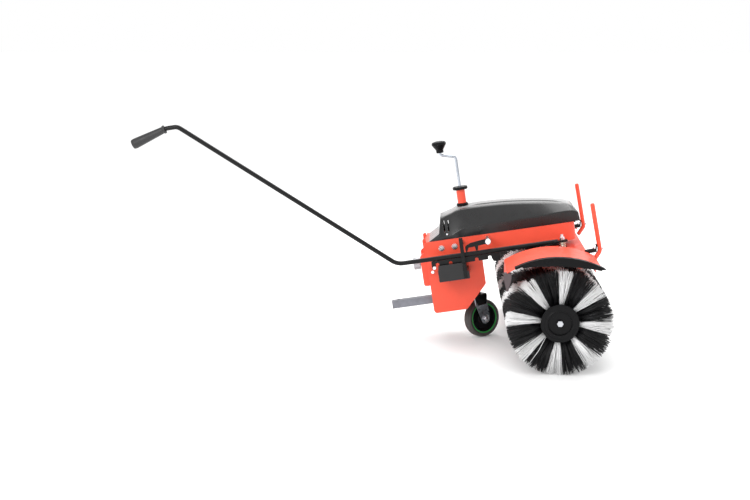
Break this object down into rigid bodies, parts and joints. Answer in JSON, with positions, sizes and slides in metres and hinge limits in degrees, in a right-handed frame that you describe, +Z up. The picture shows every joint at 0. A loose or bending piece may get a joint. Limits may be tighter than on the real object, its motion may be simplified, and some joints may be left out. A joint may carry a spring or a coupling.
{
  "type": "sweeping brush attachment",
  "caption": "Front roller sweeping brush with belt drive cover, swivelling head, height crank, caster wheel and a long control rod.",
  "frame": {"origin": "centre of the machine's box on the floor it stands on", "axes": "+X forwards, the way the brush pushes; +Y to the machine's left; +Z up"},
  "size_m": [1.6482, 1.0292, 0.7874],
  "materials": {
    "red_paint": "gloss",
    "black_plastic": "satin",
    "black_paint": "satin",
    "rubber": "matte",
    "zinc": "satin",
    "chrome": "polished",
    "steel": "satin",
    "cast_iron": "matte",
    "black_bristle": "matte"
  },
  "bodies": {
    "chassis": {"main_beam": "red_paint", "side_plate_right": "red_paint", "side_plate_left": "red_paint", "rear_flange": "red_paint", "coupling_bar": "zinc", "swivel_plate": "red_paint", "guide_tube": "red_paint", "tube_collar": "black_plastic", "height_disc": "black_plastic", "belt_cover": "black_plastic", "index_block": "black_plastic", "guide_strap": "black_paint", "index_pin": "zinc", "pawl_stud": "zinc", "input_housing": "cast_iron", "drive_belt": "rubber", "beam_bolt_front": "zinc", "beam_bolt_rear": "zinc"},
    "head": {"gearbox_housing": "cast_iron", "swivel_ring": "zinc", "head_crossbar": "red_paint", "rod_bracket": "red_paint", "hood_right": "red_paint", "hood_left": "red_paint", "hood_trim_right": "black_plastic", "hood_trim_left": "black_plastic", "rear_flap_right": "rubber", "rear_flap_left": "rubber", "stay_right": "red_paint", "stay_left": "red_paint", "stay_bolt_right": "zinc", "stay_bolt_left": "zinc", "brace_right": "black_paint", "brace_left": "black_paint"},
    "brush": {"brush_shaft": "steel", "bristles_right": "black_bristle", "bristles_left": "black_bristle", "hub_disc_right": "black_plastic", "hub_disc_left": "black_plastic", "end_bolt_right": "zinc", "end_bolt_left": "zinc"},
    "worm": {"worm_shaft": "steel", "front_pulley": "cast_iron"},
    "rear_pulley": {"rear_pulley": "cast_iron"},
    "input": {"input_shaft": "steel"},
    "rod_stud": {"rod_stud": "zinc", "stud_spring": "zinc"},
    "control_rod": {"control_rod": "black_paint", "index_comb": "black_paint", "rod_grip": "rubber"},
    "pawl": {"hold_down_pawl": "black_paint"},
    "post": {"caster_post": "black_paint"},
    "caster": {"caster_yoke": "black_paint", "caster_fork": "zinc", "caster_axle": "zinc"},
    "caster_wheel": {"caster_tyre": "rubber", "caster_rim": "black_plastic"},
    "crank": {"crank_rod": "chrome"},
    "crank_knob": {"crank_knob": "black_plastic"}
  },
  "joints": [
    {"name": "head_swivel", "type": "hinge", "parent": "chassis", "child": "head", "pos_m": [0.66888, 0, 0.37343], "axis": [-0.153, 0, 0.9882], "range_deg": [-14.4, 14.4]},
    {"name": "brush_spin", "type": "hinge", "parent": "head", "child": "brush", "pos_m": [0.64908, 0, 0.1745], "axis": [0, 1, 0], "continuous": true},
    {"name": "worm_spin", "type": "hinge", "parent": "head", "child": "worm", "pos_m": [0.65496, 0, 0.46335], "axis": [-0.153, 0, 0.9882], "continuous": true},
    {"name": "rear_pulley_spin", "type": "hinge", "parent": "chassis", "child": "rear_pulley", "pos_m": [0.29258, 0, 0.40725], "axis": [-0.153, 0, 0.9882], "continuous": true},
    {"name": "input_spin", "type": "hinge", "parent": "chassis", "child": "input", "pos_m": [0.15928, 0, 0.26822], "axis": [0.9882, 0, 0.153], "continuous": true},
    {"name": "stud_turn", "type": "hinge", "parent": "head", "child": "rod_stud", "pos_m": [0.67943, -0.185, 0.39226], "axis": [-0.153, 0, 0.9882], "range_deg": [-14.4, 14.4]},
    {"name": "rod_lift", "type": "hinge", "parent": "rod_stud", "child": "control_rod", "pos_m": [0.67943, -0.185, 0.39226], "axis": [0, 1, 0], "range_deg": [0, 2.5]},
    {"name": "pawl_turn", "type": "hinge", "parent": "chassis", "child": "pawl", "pos_m": [0.42207, -0.185, 0.38784], "axis": [0, 1, 0], "range_deg": [0, 17.5]},
    {"name": "crank_turn", "type": "hinge", "parent": "chassis", "child": "crank", "pos_m": [0.3259, 0, 0.54497], "axis": [-0.153, 0, 0.9882], "range_deg": [-1800, 864]},
    {"name": "caster_height", "type": "slide", "parent": "chassis", "child": "post", "axis": [-0.153, 0, 0.9882], "range_m": [-0.025, 0.012]},
    {"name": "knob_spin", "type": "hinge", "parent": "crank", "child": "crank_knob", "pos_m": [0.25196, 0, 0.67621], "axis": [-0.153, 0, 0.9882], "continuous": true},
    {"name": "caster_swivel", "type": "hinge", "parent": "post", "child": "caster", "pos_m": [0.38323, 0, 0.17468], "axis": [-0.153, 0, 0.9882], "continuous": true},
    {"name": "wheel_spin", "type": "hinge", "parent": "caster", "child": "caster_wheel", "pos_m": [0.41024, 0.00746, 0.06979], "axis": [0.5668, -0.8192, 0.0877], "continuous": true}
  ],
  "couplings": [
    {"joint": "worm_spin", "follows": "brush_spin", "ratio": 10},
    {"joint": "rear_pulley_spin", "follows": "brush_spin", "ratio": 19.355},
    {"joint": "input_spin", "follows": "brush_spin", "ratio": 19.355},
    {"joint": "stud_turn", "follows": "head_swivel", "ratio": -1},
    {"joint": "pawl_turn", "follows": "rod_lift", "ratio": 7},
    {"joint": "caster_height", "follows": "crank_turn", "m_per_rad": 0.00079577}
  ]
}
